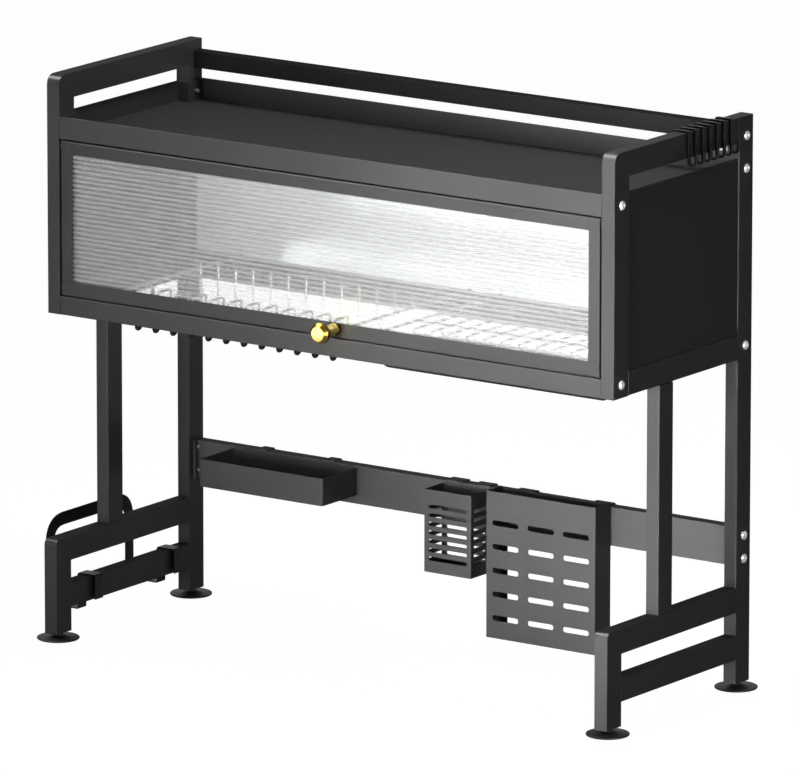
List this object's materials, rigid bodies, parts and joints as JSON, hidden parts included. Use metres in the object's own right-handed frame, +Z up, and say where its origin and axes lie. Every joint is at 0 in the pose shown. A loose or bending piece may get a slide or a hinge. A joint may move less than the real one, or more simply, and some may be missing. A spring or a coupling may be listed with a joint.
{
  "type": "multi-tier dish rack",
  "caption": "Over-sink dish rack: tube frame, cabinet with a ribbed glass flap door, wire plate and bowl racks, top tray, and hanging tray, basket, board and lid holders.",
  "frame": {"origin": "on the floor, under the middle of the bounding box of the whole rack", "axes": "+X along the rack to the side with the small hooks, +Y to the back, +Z up; the door and its knob face -Y"},
  "size_m": [0.9208, 0.3532, 0.7228],
  "materials": {
    "black_steel": "black satin powder coat",
    "door_frame": "black coated aluminium",
    "mirror_panel": "bright back panel that mirrors the wires",
    "black_plastic": "black plastic",
    "rack_wire": "light steel wire",
    "screw_steel": "bright screws and pins",
    "brass": "polished brass",
    "ribbed_glass": "ribbed frosted glass"
  },
  "bodies": {
    "frame": {"left_rear_post": "black_steel", "left_cabinet_front_frame": "black_steel", "left_cabinet_bottom_rail": "black_steel", "left_side_panel": "black_steel", "left_mid_post": "black_steel", "left_base_frame": "black_steel", "left_base_lower_rail": "black_steel", "left_screw_tray_front": "screw_steel", "left_screw_front_rail": "screw_steel", "left_screw_guard_rail": "screw_steel", "left_screw_tray_rear": "screw_steel", "left_screw_rear_rail": "screw_steel", "left_screw_hanging_rail_upper": "screw_steel", "left_screw_hanging_rail_lower": "screw_steel", "right_rear_post": "black_steel", "right_cabinet_front_frame": "black_steel", "right_cabinet_bottom_rail": "black_steel", "right_side_panel": "black_steel", "right_mid_post": "black_steel", "right_base_frame": "black_steel", "right_base_lower_rail": "black_steel", "right_screw_tray_front": "screw_steel", "right_screw_front_rail": "screw_steel", "right_screw_guard_rail": "screw_steel", "right_screw_tray_rear": "screw_steel", "right_screw_rear_rail": "screw_steel", "right_screw_hanging_rail_upper": "screw_steel", "right_screw_hanging_rail_lower": "screw_steel", "top_tray": "black_steel", "top_guard_rail": "black_steel", "cabinet_front_rail": "black_steel", "cabinet_rear_rail": "black_steel", "hanging_rail": "black_steel", "back_panel": "mirror_panel"},
    "door": {"door_left_stile": "door_frame", "door_right_stile": "door_frame", "door_top_rail": "door_frame", "door_bottom_rail": "door_frame", "door_glass": "ribbed_glass", "door_knob": "brass", "door_knob_screw": "screw_steel", "door_left_hinge_pin": "screw_steel", "door_right_hinge_pin": "screw_steel"},
    "left_front_foot": {"left_front_foot": "black_plastic"},
    "left_rear_foot": {"left_rear_foot": "black_plastic"},
    "right_front_foot": {"right_front_foot": "black_plastic"},
    "right_rear_foot": {"right_rear_foot": "black_plastic"},
    "sponge_tray": {"sponge_tray": "black_steel"},
    "cutlery_basket": {"cutlery_basket": "black_steel"},
    "board_holder": {"board_holder": "black_steel"},
    "lid_rack": {"lid_rack": "black_steel"},
    "plate_rack": {"plate_rack": "rack_wire"},
    "bowl_rack": {"bowl_rack": "rack_wire"},
    "rail_hook_1": {"rail_hook_1": "black_steel"},
    "rail_hook_2": {"rail_hook_2": "black_steel"},
    "rail_hook_3": {"rail_hook_3": "black_steel"},
    "rail_hook_4": {"rail_hook_4": "black_steel"},
    "rail_hook_5": {"rail_hook_5": "black_steel"},
    "rail_hook_6": {"rail_hook_6": "black_steel"},
    "rail_hook_7": {"rail_hook_7": "black_steel"}
  },
  "joints": [
    {"name": "door_hinge", "type": "hinge", "parent": "frame", "child": "door", "pos_m": [0.01765, -0.1305, 0.63], "axis": [-1, 0, 0], "range_deg": [0, 105]},
    {"name": "left_front_foot_screw", "type": "slide", "parent": "frame", "child": "left_front_foot", "axis": [0, 0, -1], "range_m": [0, 0.01]},
    {"name": "left_rear_foot_screw", "type": "slide", "parent": "frame", "child": "left_rear_foot", "axis": [0, 0, -1], "range_m": [0, 0.01]},
    {"name": "right_front_foot_screw", "type": "slide", "parent": "frame", "child": "right_front_foot", "axis": [0, 0, -1], "range_m": [0, 0.01]},
    {"name": "right_rear_foot_screw", "type": "slide", "parent": "frame", "child": "right_rear_foot", "axis": [0, 0, -1], "range_m": [0, 0.01]},
    {"name": "sponge_tray_lift", "type": "slide", "parent": "frame", "child": "sponge_tray", "axis": [0, 0, 1], "range_m": [0, 0.03]},
    {"name": "cutlery_basket_lift", "type": "slide", "parent": "frame", "child": "cutlery_basket", "axis": [0, 0, 1], "range_m": [0, 0.03]},
    {"name": "board_holder_lift", "type": "slide", "parent": "frame", "child": "board_holder", "axis": [0, 0, 1], "range_m": [0, 0.03]},
    {"name": "lid_rack_lift", "type": "slide", "parent": "frame", "child": "lid_rack", "axis": [0, 0, 1], "range_m": [0, 0.024]},
    {"name": "plate_rack_lift", "type": "slide", "parent": "frame", "child": "plate_rack", "axis": [0, 0, 1], "range_m": [0, 0.04]},
    {"name": "bowl_rack_lift", "type": "slide", "parent": "frame", "child": "bowl_rack", "axis": [0, 0, 1], "range_m": [0, 0.04]},
    {"name": "rail_hook_1_lift", "type": "slide", "parent": "frame", "child": "rail_hook_1", "axis": [0, 0, 1], "range_m": [0, 0.015]},
    {"name": "rail_hook_2_lift", "type": "slide", "parent": "frame", "child": "rail_hook_2", "axis": [0, 0, 1], "range_m": [0, 0.015]},
    {"name": "rail_hook_3_lift", "type": "slide", "parent": "frame", "child": "rail_hook_3", "axis": [0, 0, 1], "range_m": [0, 0.015]},
    {"name": "rail_hook_4_lift", "type": "slide", "parent": "frame", "child": "rail_hook_4", "axis": [0, 0, 1], "range_m": [0, 0.015]},
    {"name": "rail_hook_5_lift", "type": "slide", "parent": "frame", "child": "rail_hook_5", "axis": [0, 0, 1], "range_m": [0, 0.015]},
    {"name": "rail_hook_6_lift", "type": "slide", "parent": "frame", "child": "rail_hook_6", "axis": [0, 0, 1], "range_m": [0, 0.015]},
    {"name": "rail_hook_7_lift", "type": "slide", "parent": "frame", "child": "rail_hook_7", "axis": [0, 0, 1], "range_m": [0, 0.015]}
  ]
}
